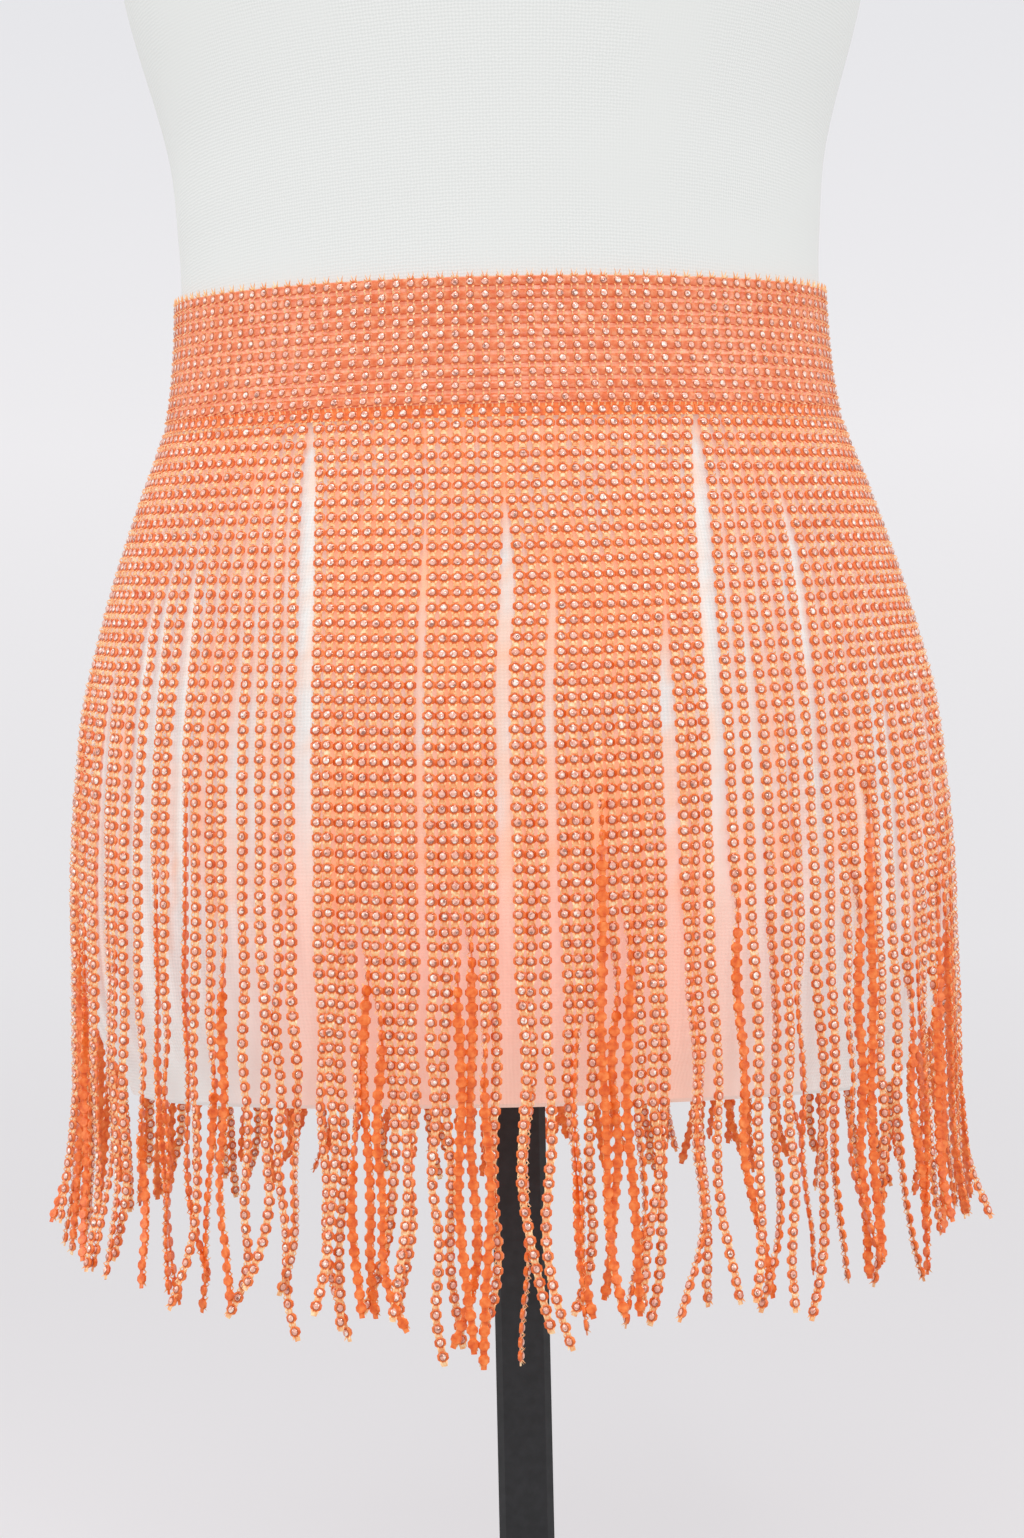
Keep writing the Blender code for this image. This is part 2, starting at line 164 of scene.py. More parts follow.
def easeStep(value, start, end):
    t = np.clip((value - start) / (end - start), 0.0, 1.0)
    return t * t * (3 - 2 * t)


# Materials, in nodes

def toLinear(red, green, blue):
    def one(c):
        c /= 255.0
        return c / 12.92 if c <= 0.04045 else ((c + 0.055) / 1.055) ** 2.4
    return (one(red), one(green), one(blue), 1.0)


def newFinish(name):
    finish = bpy.data.materials.new(name)
    finish.use_nodes = True
    return finish, finish.node_tree, finish.node_tree.nodes["Principled BSDF"]


def addPattern(tree, kind, scale, detail=2.0, stretch=(1, 1, 1)):
    where = tree.nodes.new("ShaderNodeTexCoord")
    mapping = tree.nodes.new("ShaderNodeMapping")
    mapping.inputs["Scale"].default_value = stretch
    pattern = tree.nodes.new(kind)
    pattern.inputs["Scale"].default_value = scale
    if kind == "ShaderNodeTexNoise":
        pattern.inputs["Detail"].default_value = detail
    tree.links.new(where.outputs["Object"], mapping.inputs["Vector"])
    tree.links.new(mapping.outputs["Vector"], pattern.inputs["Vector"])
    return pattern


def addRamp(tree, source, stops, steps="LINEAR"):
    ramp = tree.nodes.new("ShaderNodeValToRGB")
    ramp.color_ramp.interpolation = steps
    elements = ramp.color_ramp.elements
    elements[0].position, elements[0].color = stops[0][0], toLinear(*stops[0][1])
    elements[1].position, elements[1].color = stops[-1][0], toLinear(*stops[-1][1])
    for place, colour in stops[1:-1]:
        elements.new(place).color = toLinear(*colour)
    tree.links.new(source, ramp.inputs["Fac"])
    return ramp


def addBump(tree, shader, source, strength, distance):
    bump = tree.nodes.new("ShaderNodeBump")
    bump.inputs["Strength"].default_value = strength
    bump.inputs["Distance"].default_value = distance
    tree.links.new(source, bump.inputs["Height"])
    tree.links.new(bump.outputs["Normal"], shader.inputs["Normal"])


def addMapRange(tree, source, start, end, low=0.0, high=1.0):
    level = tree.nodes.new("ShaderNodeMapRange")
    level.interpolation_type = "SMOOTHSTEP"
    for name, value in (("From Min", start), ("From Max", end), ("To Min", low), ("To Max", high)):
        level.inputs[name].default_value = value
    tree.links.new(source, level.inputs["Value"])
    return level.outputs["Result"]


# One colour, turning to another where the factor is 1
def addMix(tree, factor, first, colour):
    mix = tree.nodes.new("ShaderNodeMix")
    mix.data_type = "RGBA"
    mix.inputs["B"].default_value = toLinear(*colour)
    tree.links.new(factor, mix.inputs["Factor"])
    tree.links.new(first, mix.inputs["A"])
    return mix.outputs["Result"]


plastic = {
    "patchScale": 420.0,
    "patchStops": (0.30, 0.50, 0.72),    # where the deep, main and pale colours stand
    "roughness": 0.32,
    "grainScale": 900.0,
    "grainBump": (0.25, 0.0002),         # strength and depth
}


def neonPlastic(name, look):
    finish, tree, shader = newFinish(name)
    noise = addPattern(tree, "ShaderNodeTexNoise", plastic["patchScale"], 3.0)
    stops = tuple(zip(plastic["patchStops"], (look["deep"], look["main"], look["pale"])))
    ramp = addRamp(tree, noise.outputs["Fac"], stops)
    tree.links.new(ramp.outputs["Color"], shader.inputs["Base Color"])
    # Emission in the plastic's own colour: a painted glow, no lamp, that lifts its shade
    tree.links.new(ramp.outputs["Color"], shader.inputs["Emission Color"])
    shader.inputs["Emission Strength"].default_value = look["paintedGlow"]
    shader.inputs["Roughness"].default_value = plastic["roughness"]
    grain = addPattern(tree, "ShaderNodeTexNoise", plastic["grainScale"])
    addBump(tree, shader, grain.outputs["Fac"], *plastic["grainBump"])
    return finish


# Each look's paintedGlow is emission that paints light into the plastic's shade
neonLooks = {
    "chain": {"deep": (202, 78, 22), "main": (222, 104, 40), "pale": (236, 134, 70), "paintedGlow": 0.18},
    # claws and the links' fronts: pale colours that paint the highlights they catch from the lamps above
    "clawHighlights": {"deep": (236, 146, 90), "main": (243, 186, 130), "pale": (250, 232, 190), "paintedGlow": 0.09},
    "band": {"deep": (214, 96, 50), "main": (224, 120, 74), "pale": (238, 164, 124), "paintedGlow": 0.08},
    "net": {"deep": (218, 134, 100), "main": (226, 156, 124), "pale": (236, 182, 154), "paintedGlow": 0.36},
}
neon = {name: neonPlastic("neon" + name.capitalize(), look) for name, look in neonLooks.items()}

crystal = {
    # stone colours for each facet cell: the stone's own pink with painted reflections, dark and bright glints
    "facetTintsAndReflections": ((0.0, (170, 120, 106)), (0.07, (220, 150, 130)), (0.20, (240, 176, 156)),
               (0.60, (248, 196, 180)), (0.88, (255, 242, 232))),
    "shadedSetting": (186, 92, 48),     # the cup's inner wall, seen round each stone, darkened with painted shade of the crevice
    "shadedSettingFrom": (0.50, 0.60),  # its start, from the table at 0 to the girdle at 1
    "facetScale": 1150.0,
    "metal": 0.10,
    "roughness": 0.14,
    "coat": 0.4,
    "coatRoughness": 0.03,
}


def crystalFinish(look):
    finish, tree, shader = newFinish("rhinestoneCrystal")
    cells = addPattern(tree, "ShaderNodeTexVoronoi", look["facetScale"])
    split = tree.nodes.new("ShaderNodeSeparateColor")
    tree.links.new(cells.outputs["Color"], split.inputs["Color"])
    # Painted reflections: each facet cell takes one colour of this ramp
    ramp = addRamp(tree, split.outputs["Red"], look["facetTintsAndReflections"], "CONSTANT")
    edge = tree.nodes.new("ShaderNodeAttribute")
    edge.attribute_name = "edge"
    # Painted shade of the crevice between stone and cup, round each girdle
    ring = addMapRange(tree, edge.outputs["Fac"], *look["shadedSettingFrom"])
    mix = addMix(tree, ring, ramp.outputs["Color"], look["shadedSetting"])
    tree.links.new(mix, shader.inputs["Base Color"])
    shader.inputs["Metallic"].default_value = look["metal"]
    shader.inputs["Roughness"].default_value = look["roughness"]
    shader.inputs["Coat Weight"].default_value = look["coat"]
    shader.inputs["Coat Roughness"].default_value = look["coatRoughness"]
    return finish


jersey = {
    "white": (190, 191, 190),
    "grey": (181, 183, 182),
    # emission in the form's own colour, no lamp: painted light that flattens its shading
    "paintedGlow": 0.52,
    "paintedBounce": (204, 170, 156),    # painted orange bounce light caught between the strands, low on the front
    "covered": (208, 148, 104),  # and stronger painted bounce light right behind them
    "bounceHigh": 0.85,           # how strong that is under the header
    "coverGlow": 0.36,           # more painted glow there
    "gapGlow": 0.62,             # and this share of it in the gaps, painted light that lifts their shade
    "gapHeights": (0.600, 0.560),
    "bounceHeights": (0.470, 0.400),    # the painted bounce grows from the first to the second
    "bounceSides": (0.125, 0.050),
    "rib": 0.0016,               # between the knitted ribs
    "course": 0.0013,            # between the rows of loops
    "patch": 14.0,               # the knit shows more in some patches,
    "patchFrom": (0.40, 0.60),
    "patchLeast": 0.15,          # and this much in the rest
    "shakeScale": 400.0,
    "shake": 5.0,                # unevenness of the loops
    "bump": (0.2, 0.0006),       # strength and depth
    "roughness": 0.85,
    "sheen": 0.2,
}


def addMath(tree, operation, *sources):
    node = tree.nodes.new("ShaderNodeMath")
    node.operation = operation
    for socket, source in zip(node.inputs, sources):
        if isinstance(source, float):
            socket.default_value = source
        else:
            tree.links.new(source, socket)
    return node.outputs[0]


# Loops of a fine knit, from lengths round and up the form
def knitPattern(tree, look):
    place = tree.nodes.new("ShaderNodeUVMap")
    place.uv_map = "lengths"
    split = tree.nodes.new("ShaderNodeSeparateXYZ")
    tree.links.new(place.outputs["UV"], split.inputs["Vector"])
    shake = addPattern(tree, "ShaderNodeTexNoise", look["shakeScale"])
    shaken = addMath(tree, "MULTIPLY", shake.outputs["Fac"], look["shake"])
    waves = []
    for axis, key in (("X", "rib"), ("Y", "course")):
        turn = addMath(tree, "MULTIPLY", split.outputs[axis], math.tau / look[key])
        waves.append(addMath(tree, "SINE", addMath(tree, "ADD", turn, shaken)))
    patch = addPattern(tree, "ShaderNodeTexNoise", look["patch"])
    shown = addMapRange(tree, patch.outputs["Fac"], *look["patchFrom"], look["patchLeast"], 1.0)
    return addMath(tree, "MULTIPLY", addMath(tree, "ADD", waves[0], waves[1]), shown)


def jerseyFinish(look):
    finish, tree, shader = newFinish("formJersey")
    knit = addMapRange(tree, knitPattern(tree, look), -2.0, 2.0)
    ramp = addRamp(tree, knit, ((0.0, look["grey"]), (1.0, look["white"])))
    where = tree.nodes.new("ShaderNodeTexCoord")
    split = tree.nodes.new("ShaderNodeSeparateXYZ")
    tree.links.new(where.outputs["Object"], split.inputs["Vector"])
    cover = tree.nodes.new("ShaderNodeAttribute")
    cover.attribute_name = "cover"
    # Painted orange bounce light off the strands: low on the front between them, and behind them where cups cover
    # the form
    low = addMapRange(tree, split.outputs["Z"], *look["bounceHeights"])
    middle = addMapRange(tree, addMath(tree, "ABSOLUTE", split.outputs["X"]), *look["bounceSides"])
    strong = addMapRange(tree, split.outputs["Z"], *look["bounceHeights"], look["bounceHigh"], 1.0)
    behind = addMath(tree, "MULTIPLY", cover.outputs["Fac"], strong)
    between = addMath(tree, "MULTIPLY", low, middle)
    mix = addMix(tree, between, ramp.outputs["Color"], look["paintedBounce"])
    mix = addMix(tree, behind, mix, look["covered"])
    tree.links.new(mix, shader.inputs["Base Color"])
    tree.links.new(mix, shader.inputs["Emission Color"])
    # Painted glow, strongest behind the strands and in the gaps under the header
    gaps = addMapRange(tree, split.outputs["Z"], *look["gapHeights"], 0.0, look["gapGlow"])
    lit = addMath(tree, "MAXIMUM", cover.outputs["Fac"], gaps)
    paintedGlow = addMapRange(tree, lit, 0.0, 1.0, look["paintedGlow"], look["paintedGlow"] + look["coverGlow"])
    tree.links.new(paintedGlow, shader.inputs["Emission Strength"])
    shader.inputs["Roughness"].default_value = look["roughness"]
    shader.inputs["Sheen Weight"].default_value = look["sheen"]
    addBump(tree, shader, knit, *look["bump"])
    return finish


stand = {
    "black": (31, 31, 34),
    "worn": (42, 42, 46),
    "wornFrom": (0.35, 0.75),
    "patchScale": 260.0,
    "bump": (0.12, 0.0002),    # strength and depth
    "roughness": 0.38,
    "metal": 0.15,
}


def standFinish(look):
    finish, tree, shader = newFinish("standBlack")
    noise = addPattern(tree, "ShaderNodeTexNoise", look["patchScale"], 4.0)
    ramp = addRamp(tree, noise.outputs["Fac"], tuple(zip(look["wornFrom"], (look["black"], look["worn"]))))
    tree.links.new(ramp.outputs["Color"], shader.inputs["Base Color"])
    shader.inputs["Roughness"].default_value = look["roughness"]
    shader.inputs["Metallic"].default_value = look["metal"]
    addBump(tree, shader, noise.outputs["Fac"], *look["bump"])
    return finish


stoneCrystal = crystalFinish(crystal)
jerseyCloth = jerseyFinish(jersey)
standPaint = standFinish(stand)
print("materials made")


# The form's outline, read from its solid: height, half width, depth to the front, depth to the back

outline = {
    "sameHeight": 0.0002,      # points this close in height are one ring
    "leastHalfWidth": 0.03,    # narrower rings are no part of the outside
}


def formRows():
    points = np.array([v.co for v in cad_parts["dress_form"].data.vertices])
    found = []
    for level in sorted({round(float(z), 4) for z in points[:, 2]}):
        ring = points[abs(points[:, 2] - level) < outline["sameHeight"]]
        if ring[:, 0].max() > outline["leastHalfWidth"]:
            found.append((level, ring[:, 0].max(), -ring[:, 1].min(), ring[:, 1].max()))
    return np.array(found)


rows = formRows()


def formSize(height, column):
    height = min(max(height, rows[0, 0]), rows[-1, 0])
    i = min(max(int(np.searchsorted(rows[:, 0], height)) - 1, 0), len(rows) - 2)

    def slope(n):
        before, after = max(n - 1, 0), min(n + 1, len(rows) - 1)
        return (rows[after, column] - rows[before, column]) / (rows[after, 0] - rows[before, 0])

    span = rows[i + 1, 0] - rows[i, 0]
    t = (height - rows[i, 0]) / span
    return (rows[i, column] * (1 + 2 * t) * (1 - t) ** 2 + rows[i + 1, column] * t * t * (3 - 2 * t)
            + slope(i) * span * t * (1 - t) ** 2 - slope(i + 1) * span * t * t * (1 - t))


def formRadii(height, offset=0.0):
    return np.array([formSize(height, column) + offset for column in (1, 2, 3)])


def ovalPoint(radii, angle):
    depth = radii[1] if math.sin(angle) > 0 else radii[2]
    return np.array([radii[0] * math.cos(angle), -depth * math.sin(angle), 0.0])


def tiltedPoint(angle, level, offset):
    point = ovalPoint(formRadii(level, offset), angle)
    for _ in range(3):
        point = ovalPoint(formRadii(level + belt["tilt"] * point[1], offset), angle)
    point[2] = level + belt["tilt"] * point[1]
    return point


def ovalNormal(point, radii):
    depth = radii[1] if point[1] < 0 else radii[2]
    normal = np.array([point[0] / radii[0] ** 2, point[1] / depth ** 2, 0.0])
    return normal / np.linalg.norm(normal)


# Where strands lie: the widest the form has been above each height

levelTop, levelStep, levelCount = 0.640, 0.001, 440
levels = levelTop - levelStep * np.arange(levelCount)
hangRadii = np.maximum.accumulate(np.array([formRadii(level, belt["clear"]) for level in levels]), axis=0)
turns = np.linspace(0.0, math.tau, 361)    # from the front, going right


def arcTable(radii):
    angle = math.pi / 2 - turns
    depth = np.where(np.sin(angle) > 0, radii[1], radii[2])
    ring = np.stack([radii[0] * np.cos(angle), -depth * np.sin(angle)], axis=1)
    return np.concatenate([[0.0], np.cumsum(np.linalg.norm(np.diff(ring, axis=0), axis=1))])


arcs = np.array([arcTable(radii) for radii in hangRadii])


def hangAt(height):
    index = min(max((levelTop - height) / levelStep, 0.0), len(levels) - 1.001)
    low = int(index)
    part = index - low
    return hangRadii[low] * (1 - part) + hangRadii[low + 1] * part, arcs[low] * (1 - part) + arcs[low + 1] * part


# Distance round the form, at each level, of a line that slides down from one point of the header
def slideDown(root):
    place = root.copy()
    found = np.zeros(len(levels))
    for n, level in enumerate(levels):
        radii = hangRadii[n]
        depth = radii[1] if place[1] < 0 else radii[2]
        short = 1.0 - (place[0] / radii[0]) ** 2 - (place[1] / depth) ** 2
        if level <= root[2] and short > 0:
            pull = np.array([2 * place[0] / radii[0] ** 2, 2 * place[1] / depth ** 2, 0.0])
            place = place + pull * (short / (pull @ pull))
            depth = radii[1] if place[1] < 0 else radii[2]
        angle = math.atan2(-place[1] / depth, place[0] / radii[0])
        found[n] = np.interp((math.pi / 2 - angle) % math.tau, turns, arcs[n])
    return found


headerLevel = belt["bandTop"] - belt["rows"] * belt["rowPitch"] - belt["seam"]
headerAngles = math.pi / 2 - np.linspace(0.0, math.tau, 721)
headerMiddle = belt["bandInside"] + belt["headerThick"] / 2
headerRing = np.array([tiltedPoint(angle, headerLevel, headerMiddle) for angle in headerAngles])
headerLengths = np.concatenate([[0.0], np.cumsum(np.linalg.norm(np.diff(headerRing, axis=0), axis=1))])
girth = headerLengths[-1]
strandPitch = girth / (len(trims) * belt["strands"])


def headerAngle(distance):
    return float(np.interp(distance % girth, headerLengths, headerAngles))


# A stone in its cup: x is across, y runs down the strand and z faces out from the cup's rim

unit = {
    "sides": 8,
    "wide": 1.17,               # the cup's width by its height
    "backRadius": 0.00180,
    "rimRadius": 0.00214,
    "rimDrop": 0.0004,          # from the stone's girdle down to the rim
    "depth": 0.00130,
    "stoneRadius": 0.00160,
    "tableRadius": 0.00072,
    "stoneHeight": 0.00060,
    "clawFoot": (0.00110, 0.00150),
    "clawTip": (0.00130, 0.00282, 0.00090),
    "clawWidth": 0.00062,
    "clawThick": 0.00050,
    "clawDepth": 0.00050,
    "linkWidth": 0.00240,
    "linkThick": 0.00070,
    "linkStart": 0.8,           # by the radius of the cup's back
}


def circle(radius, height, sides, wide=1.0):
    turn = math.pi / sides
    return [(wide * radius * math.cos(turn + math.tau * i / sides),
             radius * math.sin(turn + math.tau * i / sides), height) for i in range(sides)]


def cupShape(size, pitch):
    sides, wide = size["sides"], size["wide"]
    points = circle(size["backRadius"], -size["depth"], sides, wide)
    points += circle(size["rimRadius"], -size["rimDrop"], sides, wide)
    points += circle(size["stoneRadius"], 0.0, sides)
    cup = makeShape(points, [tuple(reversed(range(sides)))] + loftFaces(3, sides))
    points, faces = [], []
    if pitch:
        middle, thick = -size["depth"] / 2, size["linkThick"] / 2
        near = size["backRadius"] * size["linkStart"]
        for y in (near, pitch - near):
            points += [(x * size["linkWidth"] / 2, y, middle + z * thick)
                       for x, z in ((-1, 0), (0, -1), (1, 0), (0, 1))]
        faces += loftFaces(2, 4, flip=True)
    for x, y in ((1, 1), (-1, 1), (-1, -1), (1, -1)):
        foot = np.array([size["clawFoot"][0] * x, size["clawFoot"][1] * y, -size["clawDepth"]])
        out = np.array([x, 2 * y, 0]) / math.sqrt(5)
        across = np.array([-out[1], out[0], 0.0]) * size["clawWidth"]
        start = len(points)
        points += [foot + across, foot - across, foot - out * size["clawThick"],
                   (size["clawTip"][0] * x, size["clawTip"][1] * y, size["clawTip"][2])]
        faces += [(start, start + 3, start + 1), (start + 1, start + 3, start + 2), (start + 2, start + 3, start)]
    # The claws and the link's front take the painted-highlight colours of the claws
    kinds = np.ones(len(faces), dtype=np.int32)
    if pitch:
        kinds[:2] = 0    # the link's back
    return joined([cup, makeShape(points, faces, kinds)])


def stoneShape(size):
    sides = size["sides"]
    points = circle(size["stoneRadius"], 0.0, sides) + circle(size["tableRadius"], size["stoneHeight"], sides)
    return makeShape(points, loftFaces(2, sides) + [tuple(range(sides, 2 * sides))])


# All the stones of one piece; its edge value is 1 round each girdle and 0 round each table
def stonesPiece(name, shape):
    piece = meshPiece(name, shape, [stoneCrystal])
    edge = piece.data.attributes.new("edge", "FLOAT", "POINT")
    sides = unit["sides"]
    edge.data.foreach_set("value", np.tile(np.repeat([1.0, 0.0], sides), len(shape[0]) // (2 * sides)))
    return piece


# How strands hang, beyond what their solids show

hang = {
    "gapGrowth": 2.5,           # how much faster gaps open than in the solids,
    "widestGap": 0.0050,        # up to this width, or less:
    "gapBase": 0.0012,
    "gapPerShare": 0.0002,
    "opening": 0.05,
    "frontPull": 0.0055,        # how far the ends of the front trim draw in lower down
    "frontPullOver": (0.04, 0.16),
    "layerStep": 0.0012,        # how far every other strand lies in front of the rest
    "endNarrow": 0.12,          # how much narrower the cups of the free ends are
    "narrowing": (0.19, 0.28),
    "firstDrop": 0.0031,
    "firstPitch": 0.0059,
    "lastPitch": 0.0049,
    "jitter": 0.00012,
    "tilt": 6.0,                # degrees of unevenness between cups
    "twistFrom": (0.12, 0.24),
    "twistOver": (0.03, 0.09),
    "turned": ((0.52, 0.0), (0.19, 85.0), (0.11, -85.0), (0.18, 180.0)),   # share, degrees
    "turnSpread": 26.0,
    "faceFront": (30.0, 0.60),  # past this many degrees, cups turn to the front by this share of the rest
    "faceOver": (0.03, 0.15),
    "frontHalf": 0.02,          # strands that start further back turn to the back
    "swing": 10.0,              # degrees that a strand turns to and fro,
    "swingOver": (0.08, 0.2),
    "swingTurns": 70.0,         # this fast, in radians for each metre
    "wander": 0.0010,           # how far it bends to and fro, each time in this length:
    "wanderLength": (0.045, 0.09),
    "wanderOver": (0.14, 0.26),
    "curlLength": (0.030, 0.080),
    "curlReach": 0.010,
    "curlSide": (0.15, 1.0),    # shares of that reach
    "curlOut": (-0.2, 0.5),
    "sideReach": 0.003,
    "solidSeed": 20,            # the same draws as in the solids
    "looseSeed": 400,
}


def strandHeights(root, downs):
    side = abs(root[0]) / math.hypot(root[0], root[1])
    heights, height, travelled = [], root[2], 0.0
    last = formRadii(height)
    for down in downs:
        step = down - travelled
        drop = step
        for _ in range(2):
            now = formRadii(height - drop)
            grow = max(0.0, side * (now[0] - last[0]) + (1 - side) * (now[1] - last[1]))
            drop = math.sqrt(max(step ** 2 - grow ** 2, 1e-9))
        height -= drop
        last = formRadii(height)
        travelled = down
        heights.append(height)
    return np.array(heights)


# Distances round the form of one strand, with the gaps beside its bunch open as far as they are there
def trimPlaces(trim, bunch, strand, downs, starts, ends):
    free = ends - starts - belt["strands"] * belt["leastPitch"]
    gaps = []
    for share, opens in zip(trim["share"], trim["opens"]):
        most = min(hang["widestGap"], hang["gapBase"] + hang["gapPerShare"] * share)
        wanted = hang["gapGrowth"] * free * share / 100
        opened = easeStep(downs, opens / 1000, opens / 1000 + hang["opening"])
        gaps.append(most * (1 - np.exp(-wanted / most)) * opened)
    pitch = (ends - starts - sum(gaps)) / belt["strands"]
    return starts + (strand + 0.5) * pitch + sum(gaps[:bunch + 1])


def pickTurn(chance):
    pick, total = chance.random(), 0.0
    for share, degrees in hang["turned"]:
        total += share
        if pick <= total:
            return degrees
    return 0.0


# Middle, side, down and outward directions of each cup on one strand
def strandPlaces(trim, bunch, strand, root, lines, draw, chance):
    steps = [hang["firstDrop"]]
    while steps[-1] + hang["lastPitch"] < draw["length"]:
        share = steps[-1] / draw["length"]
        steps.append(steps[-1] + hang["firstPitch"] + (hang["lastPitch"] - hang["firstPitch"]) * share)
    downs = np.array(steps)
    heights = strandHeights(root, downs)
    starts, ends = (np.interp(levelTop - heights, levelTop - levels, line) for line in lines)
    places = trimPlaces(trim, bunch, strand, downs, starts, ends)
    places = places + draw["drift"] * easeStep(downs, *belt["drifting"])
    places = places + draw["sway"] * easeStep(downs, *belt["swaying"])
    places = places + draw["curl"] * easeStep(downs, *belt["curling"])
    phase, wave = chance.uniform(0, math.tau), chance.uniform(*hang["wanderLength"])
    wander = hang["wander"] * easeStep(downs, *hang["wanderOver"])
    places = places + wander * np.sin(phase + math.tau * downs / wave)
    layer = hang["layerStep"] * (strand % 2)
    proud = layer * easeStep(downs, *belt["layering"]) + draw["flare"] * easeStep(downs, *belt["curling"])
    curlFrom = draw["length"] - chance.uniform(*hang["curlLength"])
    curlSide = chance.uniform(*hang["curlSide"]) * chance.choice((-1, 1)) * hang["curlReach"]
    curlOut = chance.uniform(*hang["curlOut"]) * hang["curlReach"]
    bend = np.clip((downs - curlFrom) / (draw["length"] - curlFrom), 0, 1) ** 2
    raw, normals = [], []
    for n, height in enumerate(heights):
        radii, lengths = hangAt(height)
        angle = math.pi / 2 - float(np.interp(places[n] % lengths[-1], lengths, turns))
        point = ovalPoint(radii, angle)
        normal = ovalNormal(point, radii)
        along = np.array([-normal[1], normal[0], 0.0])
        point = point + normal * (belt["thick"] / 2 + proud[n] + curlOut * bend[n]) + along * (curlSide * bend[n])
        point[0] += math.copysign(hang["sideReach"], point[0]) * bend[n] * normal[0] ** 2
        point[2] = height
        raw.append(point)
        normals.append(normal)
    raw, normals = np.array(raw), np.array(normals)
    # Each cup keeps its distance from the last, as on a real chain
    moves = np.diff(raw, axis=0)
    moves *= (np.diff(downs) / np.linalg.norm(moves, axis=1))[:, None]
    chain = np.concatenate([raw[:1], raw[:1] + np.cumsum(moves, axis=0)])
    tangent = np.gradient(chain, axis=0)
    tangent /= np.linalg.norm(tangent, axis=1)[:, None]
    out = normals - tangent * (normals * tangent).sum(1)[:, None]
    out /= np.linalg.norm(out, axis=1)[:, None]
    # The strand turns about its own line
    turnFrom = chance.uniform(*hang["twistFrom"])
    turnTo = turnFrom + chance.uniform(*hang["twistOver"])
    target = 180.0 if strand in trim["backs"] else pickTurn(chance)
    target += chance.uniform(-1, 1) * hang["turnSpread"]
    facing = np.degrees(np.arctan2(np.abs(normals[:, 0]), np.abs(normals[:, 1])))
    faceFrom, faceShare = hang["faceFront"]
    aside = np.maximum(facing - faceFrom, 0) * faceShare * easeStep(downs, *hang["faceOver"])
    sideways = np.sign(normals[:, 0]) * (1 if root[1] < hang["frontHalf"] else -1)
    twist = np.radians(target) * easeStep(downs, turnFrom, turnTo) + np.radians(aside * sideways)
    swing = np.radians(hang["swing"]) * easeStep(downs, *hang["swingOver"])
    twist = twist + swing * np.sin(chance.uniform(0, math.tau) + downs * hang["swingTurns"])
    twist = twist + np.radians(hang["tilt"]) * np.array([chance.uniform(-1, 1) for _ in downs])
    out = out * np.cos(twist)[:, None] + np.cross(tangent, out) * np.sin(twist)[:, None]
    shake = np.array([[chance.uniform(-1, 1) for _ in range(3)] for _ in downs]) * hang["jitter"]
    narrow = 1 - hang["endNarrow"] * easeStep(downs, *hang["narrowing"])
    return chain + shake, np.cross(tangent, out) * narrow[:, None], tangent, out


# A place on the band with its side, down and outward directions, found by small steps
def frameOnBand(angle, level, offset, turnStep=0.01, dropStep=0.004):
    middle = tiltedPoint(angle, level, offset)
    side = tiltedPoint(angle + turnStep, level, offset) - middle
    side /= np.linalg.norm(side)
    down = tiltedPoint(angle, level - dropStep, offset) - middle
    down -= side * (down @ side)
    down /= np.linalg.norm(down)
    return middle, side, down, np.cross(side, down)


header = {
    "stations": 91,
    "rise": 0.0015,
    "tuck": 0.0005,         # how far its top goes up under the band
    "stoneLift": 0.0004,
}


# The tape that carries a trim's strands, and the places of its own row of stones
def headerTape(first):
    seam, drop, rise, tuck = belt["seam"] / 2, belt["headerHeight"], header["rise"], header["tuck"]
    stations = np.linspace(first + seam, first + belt["strands"] * strandPitch - seam, header["stations"])
    points = []
    for distance in stations:
        angle = headerAngle(distance)
        for down, offset in ((-tuck, 0.0), (-tuck, rise), (drop, rise), (drop, 0.0)):
            points.append(tiltedPoint(angle, headerLevel - down, belt["bandInside"] + offset))
    faces = loftFaces(len(stations), 4) + [(3, 2, 1, 0), tuple(range(len(points) - 4, len(points)))]
    middle = headerLevel - belt["headerHeight"] / 2
    lift = belt["bandInside"] + unit["depth"] + header["stoneLift"]
    places = [frameOnBand(headerAngle(first + (strand + 0.5) * strandPitch), middle, lift)
              for strand in range(belt["strands"])]
    return makeShape(points, faces), list(zip(*places))


